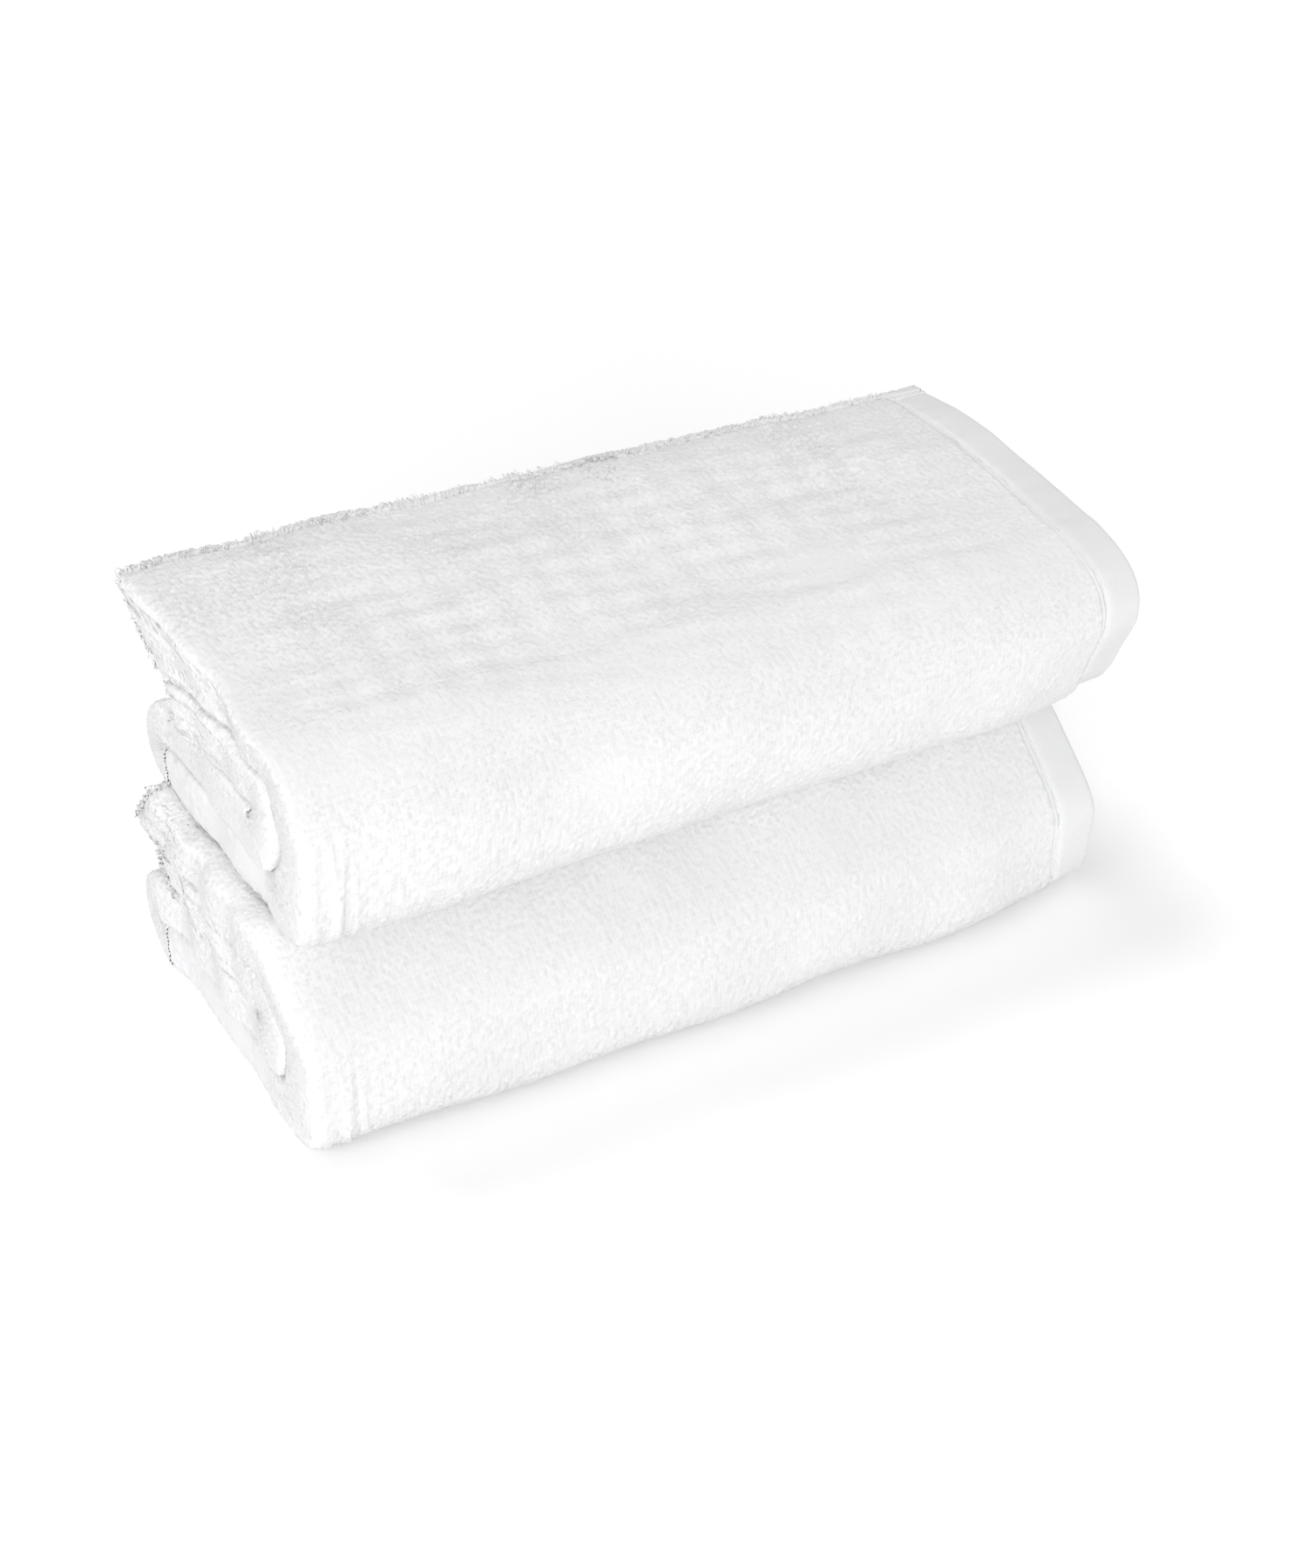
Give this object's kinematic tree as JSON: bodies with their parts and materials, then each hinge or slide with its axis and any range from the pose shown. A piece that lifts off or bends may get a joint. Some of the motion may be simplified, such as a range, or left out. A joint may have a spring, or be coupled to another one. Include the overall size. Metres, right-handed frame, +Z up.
{
  "type": "bath towel set",
  "caption": "Stack of bath towels, each a looped terry cloth with flat-woven end hems, folded in quarters both ways into a thick soft packet.",
  "frame": {"origin": "centre of the box's underside, on the surface that the stack stands on", "axes": "+X runs along the folded packets towards the hemmed ends, -Y is the side of the front folds, +Z is up"},
  "size_m": [0.358, 0.171, 0.1645],
  "materials": {
    "terry": "white looped cotton pile, matt",
    "flat_hem": "white flat plain-woven cotton, matt",
    "sewing_thread": "white spun cotton sewing thread"
  },
  "bodies": {
    "lower_towel": {"lower_outer_bottom_panel": "terry", "lower_outer_front_fold": "terry", "lower_outer_top_panel": "terry", "lower_inner_bottom_panel": "terry", "lower_inner_front_fold": "terry", "lower_inner_top_panel": "terry", "lower_back_fold": "terry", "lower_first_end_hem": "flat_hem", "lower_second_end_hem": "flat_hem", "lower_first_end_hem_thread": "sewing_thread", "lower_second_end_hem_thread": "sewing_thread", "lower_first_side_hem": "terry", "lower_second_side_hem": "terry", "lower_first_side_hem_thread": "sewing_thread", "lower_second_side_hem_thread": "sewing_thread"},
    "upper_towel": {"upper_outer_bottom_panel": "terry", "upper_inner_bottom_panel": "terry", "upper_back_fold": "terry", "upper_first_end_hem_bottom": "flat_hem", "upper_second_end_hem_bottom": "flat_hem", "upper_first_end_hem_thread_bottom": "sewing_thread", "upper_second_end_hem_thread_bottom": "sewing_thread", "upper_outer_front_fold": "terry", "upper_inner_front_fold": "terry", "upper_first_end_hem_front": "flat_hem", "upper_second_end_hem_front": "flat_hem", "upper_first_end_hem_thread_front": "sewing_thread", "upper_second_end_hem_thread_front": "sewing_thread"},
    "upper_flap": {"upper_outer_top_panel": "terry", "upper_inner_top_panel": "terry", "upper_first_end_hem_top": "flat_hem", "upper_second_end_hem_top": "flat_hem", "upper_first_end_hem_thread_top": "sewing_thread", "upper_second_end_hem_thread_top": "sewing_thread", "upper_first_side_hem": "terry", "upper_second_side_hem": "terry", "upper_first_side_hem_thread": "sewing_thread", "upper_second_side_hem_thread": "sewing_thread"}
  },
  "joints": [
    {"name": "upper_towel_lift", "type": "slide", "parent": "lower_towel", "child": "upper_towel", "axis": [0, 0, 1], "range_m": [0, 0.25]},
    {"name": "upper_flap_open", "type": "hinge", "parent": "upper_towel", "child": "upper_flap", "pos_m": [0, -0.04445, 0.12345], "axis": [1, 0, 0], "range_deg": [0, 175], "deforming": ["upper_outer_front_fold", "upper_inner_front_fold", "upper_first_end_hem_front", "upper_second_end_hem_front", "upper_first_end_hem_thread_front", "upper_second_end_hem_thread_front"]}
  ]
}
